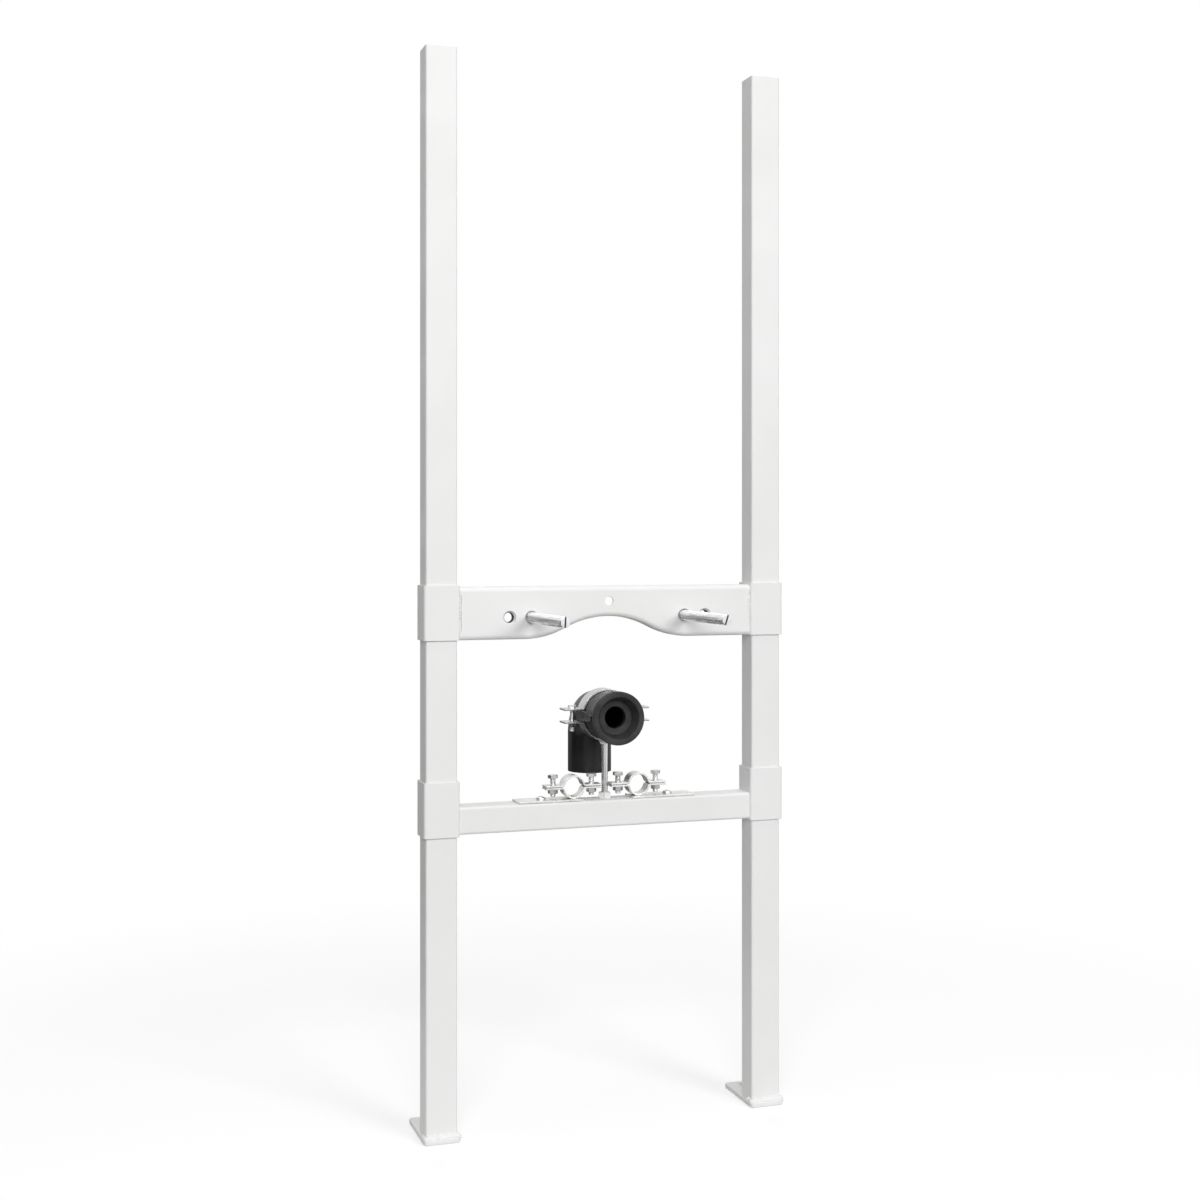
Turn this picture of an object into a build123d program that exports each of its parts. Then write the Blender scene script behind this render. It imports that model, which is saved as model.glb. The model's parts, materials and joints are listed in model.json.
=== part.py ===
from build123d import *
from math import atan, degrees, sin
import os

# Bidet installation frame: two tube uprights on foot plates, and two rails that
# slide on them in welded sleeves. The upper rail carries the bidet's studs, the
# lower one the waste elbow and two water pipe clips.
# Millimetres, +Z up, +X right and -Y to the front. The origin is on the floor,
# midway between the two floor bolts.

# Uprights and feet
upright_width = 35.0
upright_depth = 30.0
upright_wall = 2.0
upright_corner = 2.5
upright_pitch = 382.0
frame_height = 1185.0
foot_width = 40.0
foot_length = 80.0
foot_thickness = 5.0
foot_overhang = 5.0          # in front of the upright
foot_corner = 4.0
floor_hole_diameter = 10.0
floor_hole_margin = 12.0     # hole centre to the foot's back edge

# Sleeves and their locking screws
slide_clearance = 0.5        # between upright and sleeve, each side
sleeve_wall = 2.0
sleeve_corner = 3.0
sleeve_height = 60.0
upper_sleeve_base = 542.0
lower_sleeve_base = 329.0
lock_diameter = 8.0
lock_tip_gap = 0.3           # screw tip to upright
lock_reach = 4.0             # thread showing between nut and head

# Upper crossbar, pressed from one sheet
sheet = 3.0
upper_height = 58.0
upper_depth = 17.0
upper_setback = 1.5          # behind the sleeves' front
upper_edge_radius = 5.5
arch_rise = 24.0
arch_half_width = 97.0
arch_crown_half = 50.0       # crown to the point where the curve turns
end_relief = 1.8
end_relief_height = 40.0
stud_spacing = 180.0
outer_spacing = 230.0
stud_height = 24.0           # above the crossbar's lower edge
stud_hole_diameter = 14.5
centre_hole_diameter = 10.0
centre_hole_height = 41.0
stud_diameter = 12.0
stud_reach = 123.0           # in front of the crossbar
stud_tail = 4.0              # behind the weld nut
stud_core_diameter = 10.9    # where it is screwed into the nut
stud_slot_width = 1.8
stud_slot_depth = 3.0
stud_chamfer = 1.2
weld_nut_flats = 19.0
weld_nut_height = 10.0

# Lower crossbar
lower_side = 30.0
lower_wall = 2.0
lower_corner = 3.0
lower_lift = 2.0             # above the sleeves' lower edge

# Rod and waste elbow
thread_clearance = 0.15      # between a screw and its nut, on the radius
screw_hole_clearance = 0.3   # between a screw and a plain hole, on the radius
rod_diameter = 7.0           # plain shank of an M8 rod
rod_tail = 12.0              # below the crossbar's top face
elbow_height = 94.0          # arm axis above the crossbar's top face
elbow_wall = 3.0
leg_diameter = 50.0
leg_drop = 70.0              # arm axis to the leg's lower end
leg_setback = 54.0           # leg axis behind the rod
bend_radius = 28.0
socket_diameter = 54.0
socket_tail = 12.0           # behind the rod
socket_taper = 4.0
socket_depth = 26.0
rib_proud = 3.5              # beyond the socket, between the clamp's lugs
rib_front_height = 6.0
rib_taper = 24.0
rib_clearance = 0.4          # to each lug, and to the seal's collar
seal_reach = 50.0            # seal's front face in front of the rod
seal_collar_diameter = 59.0
seal_collar_length = 8.0
seal_plug_length = 20.0
seal_fit = 0.1               # between the seal and its socket, on the radius
seal_mouth_diameter = 47.0
seal_cone_depth = 13.0
seal_step_diameter = 37.5    # at the cone's inner end
seal_bore_diameter = 24.0
seal_bore_length = 8.0
seal_skin = 3.0

# Elbow clamp
clamp_band = 2.0
clamp_width = 20.0
clamp_clearance = 0.3
clamp_lug_gap = 12.4
clamp_lug_reach = 50.0
clamp_bolt_offset = 38.4
clamp_bolt_length = 26.0
clamp_weld_diameter = 11.0
clamp_weld_height = 3.0
clamp_bend = 2.0

# Water pipe clips and their plates
plate_start = 29.0           # inner end from the middle
plate_length = 75.0
plate_depth = 28.0
plate_thickness = 2.0
plate_corner = 0.8
plate_screw_x = 75.0
plate_hole_x = 98.0
plate_hole_side = "right"    # only this plate is drilled
plate_hole_diameter = 5.0
plate_screw_length = 12.0
clip_x = 38.3
clip_bore_diameter = 22.0
clip_band = 2.0
clip_width = 16.0
clip_seat = 0.05             # between clip and plate
clip_flange_gap = 0.5
clip_flange_reach = 32.5
clip_bolt_offset = 22.5
clip_bolt_stand = 7.6        # head's underside above the flange
clip_bolt_length = 20.5
clip_bend = 1.5

# Screw sizes: M5, M6 and M8 hexagons
m5_diameter = 5.0
m5_flats = 8.0
m5_head = 3.5
m5_nut = 4.7
m6_diameter = 6.0
m6_flats = 10.0
m6_head = 4.0
m6_nut = 5.0
m8_flats = 13.0
m8_head = 5.3
m8_nut = 6.8
pan_head_diameter = 11.0
pan_head_height = 3.2
pan_head_radius = 1.4

# Places worked out from the sizes above
upright_x = upright_pitch / 2
upright_front = foot_overhang + floor_hole_margin - foot_length
upright_y = upright_front + upright_depth / 2
upright_back = upright_front + upright_depth
foot_y = floor_hole_margin - foot_length / 2
sleeve_margin = slide_clearance + sleeve_wall
sleeve_width = upright_width + 2 * sleeve_margin
sleeve_depth = upright_depth + 2 * sleeve_margin
sleeve_front = upright_front - sleeve_margin
sleeve_back = upright_back + sleeve_margin
rail_half = upright_x - sleeve_width / 2

upper_front = sleeve_front + upper_setback
upper_base = upper_sleeve_base
stud_z = upper_base + stud_height
nut_front = upper_front + sheet
nut_back = nut_front + weld_nut_height
stud_xs = (-stud_spacing / 2, stud_spacing / 2)
outer_xs = (-outer_spacing / 2, outer_spacing / 2)

lower_base = lower_sleeve_base + lower_lift
lower_top = lower_base + lower_side
rod_y = upright_y
axis_z = lower_top + elbow_height
leg_y = rod_y + leg_setback
seal_front = rod_y - seal_reach
socket_front = seal_front + seal_collar_length
socket_back = rod_y + socket_tail
socket_bore = socket_diameter - 2 * elbow_wall
leg_bore = leg_diameter - 2 * elbow_wall
clamp_inner = socket_diameter / 2 + clamp_clearance
clamp_outer = clamp_inner + clamp_band
clamp_lug_top = axis_z + clamp_lug_gap / 2 + clamp_band
clamp_lug_base = axis_z - clamp_lug_gap / 2 - clamp_band
rib_root = (socket_bore + elbow_wall / 2) / 2
rib_height = clamp_lug_gap - 2 * rib_clearance
rib_front = socket_front + rib_clearance
rib_back = rod_y + clamp_width / 2
weld_base = axis_z - clamp_outer - clamp_weld_height
rod_top = axis_z - clamp_outer - thread_clearance

plate_top = lower_top + plate_thickness
clip_inner = clip_bore_diameter / 2
clip_axis_z = plate_top + clip_seat + clip_inner + clip_band
clip_flange_top = clip_axis_z + clip_flange_gap / 2 + clip_band
clip_flange_base = clip_axis_z - clip_flange_gap / 2 - clip_band
clip_head_base = clip_flange_top + clip_bolt_stand

m5_radius = m5_diameter / 2
m5_hole = m5_radius + screw_hole_clearance
m6_radius = m6_diameter / 2
m6_hole = m6_radius + screw_hole_clearance
rod_radius = rod_diameter / 2
lock_radius = lock_diameter / 2
stud_radius = stud_diameter / 2
sides = (("left", -1), ("right", 1))
rails = (("upper", upper_sleeve_base), ("lower", lower_sleeve_base))

os.makedirs("parts", exist_ok=True)


def write(piece, name):
    piece.label = name
    export_step(piece, f"parts/{name}.step")


def facing_front(y):
    # sketch plane seen from the front: local x is X, local y is Z
    return Plane.XZ.offset(-y)


def rounded_tube(width, height, corner, wall):
    RectangleRounded(width, height, corner)
    RectangleRounded(width - 2 * wall, height - 2 * wall, corner - wall, mode=Mode.SUBTRACT)


def hexagon(flats):
    RegularPolygon(flats / 2, 6, major_radius=False)


def hex_nuts(places, base, height, flats, bore):
    with BuildPart() as nuts:
        with BuildSketch(Plane.XY.offset(base)):
            with Locations(*places):
                hexagon(flats)
                Circle(bore, mode=Mode.SUBTRACT)
        extrude(amount=height)
    return nuts.part


def hex_bolts(places, head_base, head_height, flats, radius, length):
    with BuildPart() as bolts:
        with BuildSketch(Plane.XY.offset(head_base)):
            with Locations(*places):
                hexagon(flats)
        extrude(amount=head_height)
        with BuildSketch(Plane.XY.offset(head_base)):
            with Locations(*places):
                Circle(radius)
        extrude(amount=-length)
    return bolts.part


def strap_half(x, z, inner, band, gap, reach, width, bend, bolt_offset, hole, upper):
    # half of a two-part pipe strap: an arc with a flat flange at each end
    unwanted = (Align.CENTER, Align.MAX) if upper else (Align.CENTER, Align.MIN)
    flange_face = gap / 2 + band
    with BuildPart() as half:
        with BuildSketch(facing_front(rod_y - width / 2)) as profile:
            with Locations((x, z)):
                Circle(inner + band)
                Rectangle(2 * reach, 2 * flange_face)
                Circle(inner, mode=Mode.SUBTRACT)
                Rectangle(2 * reach, gap, mode=Mode.SUBTRACT)
                Rectangle(2 * reach, 4 * inner, align=unwanted, mode=Mode.SUBTRACT)
            inside = profile.vertices().filter_by(lambda v: abs(v.X - x) < reach - band)
            fillet(inside.filter_by(lambda v: abs(v.Y - z) > gap), bend)
            throat = profile.vertices().filter_by(lambda v: abs(v.X - x) < inner + band / 2)
            fillet(throat.filter_by(lambda v: abs(v.Y - z) < gap / 2 + band / 4), bend + band)
        extrude(amount=-width)
        with BuildSketch(Plane.XY.offset(z)):
            with Locations((x - bolt_offset, rod_y), (x + bolt_offset, rod_y)):
                Circle(hole)
        extrude(amount=2 * flange_face, both=True, mode=Mode.SUBTRACT)
    return half.part


# Uprights and their foot plates
for side, sign in sides:
    with BuildPart() as upright:
        with BuildSketch(Plane.XY.offset(foot_thickness)):
            with Locations((sign * upright_x, upright_y)):
                rounded_tube(upright_width, upright_depth, upright_corner, upright_wall)
        extrude(amount=frame_height - foot_thickness)
    write(upright.part, f"{side}_upright")

    with BuildPart() as foot_plate:
        with BuildSketch():
            with Locations((sign * upright_x, foot_y)):
                RectangleRounded(foot_width, foot_length, foot_corner)
            with Locations((sign * upright_x, 0)):
                Circle(floor_hole_diameter / 2, mode=Mode.SUBTRACT)
        extrude(amount=foot_thickness)
    write(foot_plate.part, f"{side}_foot_plate")

# Sleeves with the nut and screw that lock each one from behind
for rail, base in rails:
    lock_z = base + sleeve_height / 2
    for side, sign in sides:
        with BuildPart() as sleeve:
            with BuildSketch(Plane.XY.offset(base)):
                with Locations((sign * upright_x, upright_y)):
                    rounded_tube(sleeve_width, sleeve_depth, sleeve_corner, sleeve_wall)
            extrude(amount=sleeve_height)
            with BuildSketch(facing_front(sleeve_back)):
                with Locations((sign * upright_x, lock_z)):
                    Circle(lock_radius + screw_hole_clearance)
            extrude(amount=sleeve_margin, mode=Mode.SUBTRACT)
        write(sleeve.part, f"{rail}_{side}_sleeve")

    lock_places = [(sign * upright_x, lock_z) for side, sign in sides]
    with BuildPart() as lock_nuts:
        with BuildSketch(facing_front(sleeve_back)):
            with Locations(*lock_places):
                hexagon(m8_flats)
                Circle(lock_radius + thread_clearance, mode=Mode.SUBTRACT)
        extrude(amount=-m8_nut)
    write(lock_nuts.part, f"{rail}_lock_nuts")

    head_front = sleeve_back + m8_nut + lock_reach
    with BuildPart() as lock_screws:
        with BuildSketch(facing_front(head_front)):
            with Locations(*lock_places):
                hexagon(m8_flats)
        extrude(amount=-m8_head)
        with BuildSketch(facing_front(head_front)):
            with Locations(*lock_places):
                Circle(lock_radius)
        extrude(amount=head_front - upright_back - lock_tip_gap)
    write(lock_screws.part, f"{rail}_lock_screws")

# Upper crossbar: an arched channel, open at the back and at its ends
arch_turn = 2 * atan(arch_rise / arch_half_width)
crown_radius = arch_crown_half / sin(arch_turn)
shoulder_radius = (arch_half_width - arch_crown_half) / sin(arch_turn)
turn = degrees(arch_turn)
upper_top = upper_base + upper_height
with BuildPart() as upper_crossbar:
    with BuildSketch(facing_front(upper_front)):
        with BuildLine():
            outline = Polyline(
                (-arch_half_width, upper_base),
                (-rail_half, upper_base),
                (-rail_half, upper_top),
                (rail_half, upper_top),
                (rail_half, upper_base),
                (arch_half_width, upper_base),
            )
            right_shoulder = JernArc(outline @ 1, (-1, 0), shoulder_radius, -turn)
            crown = JernArc(right_shoulder @ 1, right_shoulder % 1, crown_radius, 2 * turn)
            left_shoulder = JernArc(crown @ 1, crown % 1, shoulder_radius, -turn)
        make_face()
    extrude(amount=-upper_depth)
    front_rim = upper_crossbar.faces().sort_by(Axis.Y)[0].edges()
    fillet(front_rim.filter_by(lambda e: abs(e.center().X) < rail_half - end_relief), upper_edge_radius)
    back = upper_crossbar.faces().sort_by(Axis.Y)[-1]
    ends = [upper_crossbar.faces().sort_by(Axis.X)[i] for i in (0, -1)]
    offset(amount=-sheet, openings=[back] + ends)
    with BuildSketch(facing_front(upper_front)):
        with Locations(*[(x, stud_z) for x in stud_xs + outer_xs]):
            Circle(stud_hole_diameter / 2)
        with Locations((0, upper_base + centre_hole_height)):
            Circle(centre_hole_diameter / 2)
        with Locations(*[(sign * rail_half, upper_base + upper_height / 2) for side, sign in sides]):
            RectangleRounded(2 * end_relief, end_relief_height, 0.9 * end_relief)
    extrude(amount=-2 * sheet, mode=Mode.SUBTRACT)
write(upper_crossbar.part, "upper_crossbar")

# Threaded studs with slotted ends, and the nuts welded behind the crossbar
for (side, sign), x in zip(sides, stud_xs):
    with BuildPart() as stud:
        with BuildSketch(facing_front(nut_back + stud_tail)):
            with Locations((x, stud_z)):
                Circle(stud_core_diameter / 2)
        extrude(amount=nut_back + stud_tail - nut_front)
        with BuildSketch(facing_front(nut_front)):
            with Locations((x, stud_z)):
                Circle(stud_radius)
        extrude(amount=nut_front - upper_front + stud_reach)
        chamfer(stud.edges().sort_by(Axis.Y)[0], stud_chamfer)
        with BuildSketch(facing_front(upper_front - stud_reach)):
            with Locations((x, stud_z)):
                Rectangle(stud_slot_width, 2 * stud_diameter)
        extrude(amount=-stud_slot_depth, mode=Mode.SUBTRACT)
    write(stud.part, f"{side}_stud")

for name, xs in (("stud_weld_nuts", stud_xs), ("outer_weld_nuts", outer_xs)):
    with BuildPart() as weld_nuts:
        with BuildSketch(facing_front(nut_front)):
            with Locations(*[(x, stud_z) for x in xs]):
                hexagon(weld_nut_flats)
                Circle(stud_core_diameter / 2 + thread_clearance, mode=Mode.SUBTRACT)
        extrude(amount=-weld_nut_height)
    write(weld_nuts.part, name)

# Lower crossbar, drilled for the rod and for the plates' screws
with BuildPart() as lower_crossbar:
    with BuildSketch(Plane.YZ):
        with Locations((upright_y, lower_base + lower_side / 2)):
            rounded_tube(lower_side, lower_side, lower_corner, lower_wall)
    extrude(amount=rail_half, both=True)
    with BuildSketch(Plane.XY.offset(lower_top)):
        with Locations((0, rod_y)):
            Circle(rod_radius + screw_hole_clearance)
        with Locations(*[(sign * plate_screw_x, rod_y) for side, sign in sides]):
            Circle(m6_hole)
    extrude(amount=-lower_side / 2, mode=Mode.SUBTRACT)
write(lower_crossbar.part, "lower_crossbar")

# Rod that carries the elbow clamp, and the nut at its foot
with BuildPart() as rod:
    with BuildSketch(Plane.XY.offset(lower_top - rod_tail)):
        with Locations((0, rod_y)):
            Circle(rod_radius)
    extrude(amount=rod_top - lower_top + rod_tail)
write(rod.part, "clamp_rod")
write(hex_nuts([(0, rod_y)], lower_top, m8_nut, m8_flats, rod_radius + thread_clearance), "clamp_rod_nut")

# Waste elbow: a ribbed socket to the front, a bend and a plain leg downwards
arm_axis = Axis((0, 0, axis_z), (0, 1, 0))
taper_end = socket_back + socket_taper
with BuildPart() as waste_elbow:
    with BuildLine() as run:
        FilletPolyline(
            (0, socket_back, axis_z),
            (0, leg_y, axis_z),
            (0, leg_y, axis_z - leg_drop),
            radius=bend_radius,
        )
    with BuildSketch(Plane(run.line @ 0, z_dir=run.line % 0)):
        Circle(leg_diameter / 2)
        Circle(leg_bore / 2, mode=Mode.SUBTRACT)
    sweep()
    with BuildSketch(Plane.YZ):
        with BuildLine():
            Polyline(
                (socket_front, axis_z + socket_bore / 2),
                (socket_front, axis_z + socket_diameter / 2),
                (socket_back, axis_z + socket_diameter / 2),
                (taper_end, axis_z + leg_diameter / 2),
                (taper_end, axis_z + leg_bore / 2),
                (socket_front + socket_depth, axis_z + leg_bore / 2),
                (socket_front + socket_depth, axis_z + socket_bore / 2),
                close=True,
            )
        make_face()
    revolve(axis=arm_axis)
    for side, sign in sides:
        with BuildSketch(Plane.YZ.offset(sign * rib_root)):
            with BuildLine():
                Polyline(
                    (rib_front, axis_z - rib_front_height / 2),
                    (rib_front + rib_taper, axis_z - rib_height / 2),
                    (rib_back, axis_z - rib_height / 2),
                    (rib_back, axis_z + rib_height / 2),
                    (rib_front + rib_taper, axis_z + rib_height / 2),
                    (rib_front, axis_z + rib_front_height / 2),
                    close=True,
                )
            make_face()
        extrude(amount=sign * (socket_diameter / 2 + rib_proud - rib_root))
write(waste_elbow.part, "waste_elbow")

# Rubber seal: a collar on the socket's rim, a cone and a stepped bore
plug_radius = socket_bore / 2 - seal_fit
plug_end = socket_front + seal_plug_length
step_front = seal_front + seal_cone_depth
step_back = step_front + seal_skin
bore_end = step_front + seal_bore_length
seal_bore_radius = seal_bore_diameter / 2
with BuildPart() as waste_seal:
    with BuildSketch(Plane.YZ):
        with BuildLine():
            Polyline(
                (seal_front, axis_z + seal_mouth_diameter / 2),
                (seal_front, axis_z + seal_collar_diameter / 2),
                (socket_front, axis_z + seal_collar_diameter / 2),
                (socket_front, axis_z + plug_radius),
                (plug_end, axis_z + plug_radius),
                (plug_end, axis_z + plug_radius - seal_skin),
                (step_back, axis_z + plug_radius - seal_skin),
                (step_back, axis_z + seal_bore_radius + seal_skin),
                (bore_end, axis_z + seal_bore_radius + seal_skin),
                (bore_end, axis_z + seal_bore_radius),
                (step_front, axis_z + seal_bore_radius),
                (step_front, axis_z + seal_step_diameter / 2),
                close=True,
            )
        make_face()
    revolve(axis=arm_axis)
write(waste_seal.part, "waste_seal")

# Elbow clamp: two strap halves, the lower one with a weld that holds the rod
clamp_sizes = dict(
    inner=clamp_inner, band=clamp_band, gap=clamp_lug_gap, reach=clamp_lug_reach,
    width=clamp_width, bend=clamp_bend, bolt_offset=clamp_bolt_offset, hole=m5_hole,
)
write(strap_half(0, axis_z, upper=True, **clamp_sizes), "elbow_clamp_upper")

with BuildPart() as clamp_lower:
    add(strap_half(0, axis_z, upper=False, **clamp_sizes))
    with BuildSketch(Plane.XY.offset(weld_base)):
        with Locations((0, rod_y)):
            Circle(clamp_weld_diameter / 2)
            Circle(rod_radius + thread_clearance, mode=Mode.SUBTRACT)
    extrude(until=Until.NEXT)
write(clamp_lower.part, "elbow_clamp_lower")

clamp_places = [(-clamp_bolt_offset, rod_y), (clamp_bolt_offset, rod_y)]
clamp_bolts = hex_bolts(clamp_places, clamp_lug_top, m5_head, m5_flats, m5_radius, clamp_bolt_length)
write(clamp_bolts, "elbow_clamp_bolts")
clamp_nuts = hex_nuts(clamp_places, clamp_lug_base - m5_nut, m5_nut, m5_flats, m5_radius + thread_clearance)
write(clamp_nuts, "elbow_clamp_nuts")

# Water pipe clips on their plates
for side, sign in sides:
    with BuildPart() as clip_plate:
        with BuildSketch(Plane.XY.offset(lower_top)):
            with Locations((sign * (plate_start + plate_length / 2), rod_y)):
                RectangleRounded(plate_length, plate_depth, plate_corner)
            with Locations((sign * plate_screw_x, rod_y)):
                Circle(m6_hole, mode=Mode.SUBTRACT)
            if side == plate_hole_side:
                with Locations((sign * plate_hole_x, rod_y)):
                    Circle(plate_hole_diameter / 2, mode=Mode.SUBTRACT)
        extrude(amount=plate_thickness)
    write(clip_plate.part, f"{side}_clip_plate")

    with BuildPart() as plate_screw:
        with BuildSketch(Plane.XY.offset(plate_top)):
            with Locations((sign * plate_screw_x, rod_y)):
                Circle(pan_head_diameter / 2)
        extrude(amount=pan_head_height)
        fillet(plate_screw.edges().sort_by(Axis.Z)[-1], pan_head_radius)
        with BuildSketch(Plane.XY.offset(plate_top)):
            with Locations((sign * plate_screw_x, rod_y)):
                Circle(m6_radius)
        extrude(amount=-plate_screw_length)
    write(plate_screw.part, f"{side}_plate_screw")

    clip_sizes = dict(
        inner=clip_inner, band=clip_band, gap=clip_flange_gap, reach=clip_flange_reach,
        width=clip_width, bend=clip_bend, bolt_offset=clip_bolt_offset, hole=m6_hole,
    )
    write(strap_half(sign * clip_x, clip_axis_z, upper=False, **clip_sizes), f"{side}_clip_lower")
    write(strap_half(sign * clip_x, clip_axis_z, upper=True, **clip_sizes), f"{side}_clip_upper")

    clip_places = [(sign * clip_x - clip_bolt_offset, rod_y), (sign * clip_x + clip_bolt_offset, rod_y)]
    clip_bolts = hex_bolts(clip_places, clip_head_base, m6_head, m6_flats, m6_radius, clip_bolt_length)
    write(clip_bolts, f"{side}_clip_bolts")
    clip_nuts = hex_nuts(clip_places, clip_flange_base - m6_nut, m6_nut, m6_flats, m6_radius + thread_clearance)
    write(clip_nuts, f"{side}_clip_nuts")
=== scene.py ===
import json
import math

import bmesh
import bpy
from mathutils import Matrix, Vector


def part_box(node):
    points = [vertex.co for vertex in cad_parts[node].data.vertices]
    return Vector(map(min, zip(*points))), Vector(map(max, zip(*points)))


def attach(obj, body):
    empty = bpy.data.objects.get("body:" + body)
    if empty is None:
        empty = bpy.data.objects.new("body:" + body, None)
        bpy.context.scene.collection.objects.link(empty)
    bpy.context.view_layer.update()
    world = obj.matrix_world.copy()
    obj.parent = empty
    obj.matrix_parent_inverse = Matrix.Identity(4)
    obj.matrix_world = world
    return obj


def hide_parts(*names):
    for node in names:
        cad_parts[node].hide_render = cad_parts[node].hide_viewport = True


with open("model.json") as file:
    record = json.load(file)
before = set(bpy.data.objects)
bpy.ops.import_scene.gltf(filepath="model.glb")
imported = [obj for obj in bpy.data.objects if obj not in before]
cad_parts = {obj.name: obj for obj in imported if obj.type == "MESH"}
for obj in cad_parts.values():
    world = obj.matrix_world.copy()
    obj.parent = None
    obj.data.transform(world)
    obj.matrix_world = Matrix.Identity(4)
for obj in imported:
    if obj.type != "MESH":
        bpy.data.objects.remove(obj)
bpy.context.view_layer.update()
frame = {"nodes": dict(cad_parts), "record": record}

scene = bpy.context.scene
nodes = frame["nodes"]
bodyOf = {n: b for b, members in frame["record"]["behaviour"]["bodies"].items() for n in members}
slotOf = {s["node"]: s["material_slot"] for s in frame["record"]["subparts"]}
mm = 0.001
print("frame loaded:", len(nodes), "nodes")


# camera, level, so that the uprights stay upright in the picture
view = {
    "place": (-0.613, -1.842, 0.651), "turn": 18.71, "lens": 50.58, "sensor": 36.0,
    "horizonRow": 540, "rows": 1200,
}


def addCamera():
    data = bpy.data.cameras.new("frameCamera")
    data.lens = view["lens"]
    data.sensor_width = view["sensor"]
    data.shift_y = view["horizonRow"] / view["rows"] - 0.5
    camera = bpy.data.objects.new("frameCamera", data)
    camera.location = view["place"]
    camera.rotation_euler = (math.radians(90), 0, math.radians(-view["turn"]))
    scene.collection.objects.link(camera)
    scene.camera = camera


addCamera()
print("camera set")


# small helpers for node trees
def addNode(tree, kind, **values):
    node = tree.nodes.new(kind)
    for key, value in values.items():
        setattr(node, key, value)
    return node


def feed(tree, socket, source):
    # a socket is linked, anything else is typed in
    if isinstance(source, bpy.types.NodeSocket):
        tree.links.new(source, socket)
    else:
        socket.default_value = source


def calc(tree, operation, *sources):
    node = addNode(tree, "ShaderNodeMath", operation=operation)
    for socket, source in zip(node.inputs, sources):
        feed(tree, socket, source)
    return node.outputs[0]


def spread(tree, value, fromMin, fromMax, toMin=0.0, toMax=1.0):
    node = addNode(tree, "ShaderNodeMapRange", interpolation_type="SMOOTHSTEP")
    for label, source in (("Value", value), ("From Min", fromMin), ("From Max", fromMax),
                          ("To Min", toMin), ("To Max", toMax)):
        feed(tree, node.inputs[label], source)
    return node.outputs["Result"]


def newGroup(name, kind, inputs, outputs):
    tree = bpy.data.node_groups.new(name, kind)
    for label, socketType in inputs:
        tree.interface.new_socket(label, in_out="INPUT", socket_type="NodeSocket" + socketType)
    for label, socketType in outputs:
        tree.interface.new_socket(label, in_out="OUTPUT", socket_type="NodeSocket" + socketType)
    return tree, addNode(tree, "NodeGroupInput"), addNode(tree, "NodeGroupOutput")


# shader groups that several finishes share
def noiseIn(tree, scale, detail, roughness=0.5, distortion=0.0):
    coords = addNode(tree, "ShaderNodeTexCoord")
    noise = addNode(tree, "ShaderNodeTexNoise")
    feed(tree, noise.inputs["Vector"], coords.outputs["Object"])
    feed(tree, noise.inputs["Scale"], scale)
    feed(tree, noise.inputs["Detail"], detail)
    feed(tree, noise.inputs["Roughness"], roughness)
    feed(tree, noise.inputs["Distortion"], distortion)
    return noise.outputs["Fac"]


def grainGroup():
    # the fine skin of a coat or a moulding, as a height
    tree, given, result = newGroup(
        "surfaceGrain", "ShaderNodeTree",
        [("Scale", "Float"), ("Roughness", "Float")], [("Height", "Float")],
    )
    fine = noiseIn(tree, given.outputs["Scale"], 4, given.outputs["Roughness"])
    feed(tree, result.inputs["Height"], fine)
    return tree


def handlingGroup():
    # broad cloudy patches where hands and tools have been, as a roughness
    tree, given, result = newGroup(
        "handlingMarks", "ShaderNodeTree",
        [("Scale", "Float"), ("Low", "Float"), ("High", "Float")], [("Value", "Float")],
    )
    cloud = noiseIn(tree, given.outputs["Scale"], 6, 0.5, 0.6)
    value = spread(tree, cloud, 0.3, 0.7, given.outputs["Low"], given.outputs["High"])
    feed(tree, result.inputs["Value"], value)
    return tree


def tintGroup():
    # two close colours, mixed in soft patches
    tree, given, result = newGroup(
        "patchTint", "ShaderNodeTree",
        [("Main", "Color"), ("Patch", "Color"), ("Scale", "Float")], [("Color", "Color")],
    )
    patches = spread(tree, noiseIn(tree, given.outputs["Scale"], 3), 0.38, 0.66)
    mix = addNode(tree, "ShaderNodeMix", data_type="RGBA")
    feed(tree, mix.inputs["Factor"], patches)
    feed(tree, mix.inputs[6], given.outputs["Main"])
    feed(tree, mix.inputs[7], given.outputs["Patch"])
    feed(tree, result.inputs["Color"], mix.outputs[2])
    return tree


groups = {"grain": grainGroup(), "handling": handlingGroup(), "tint": tintGroup()}

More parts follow.
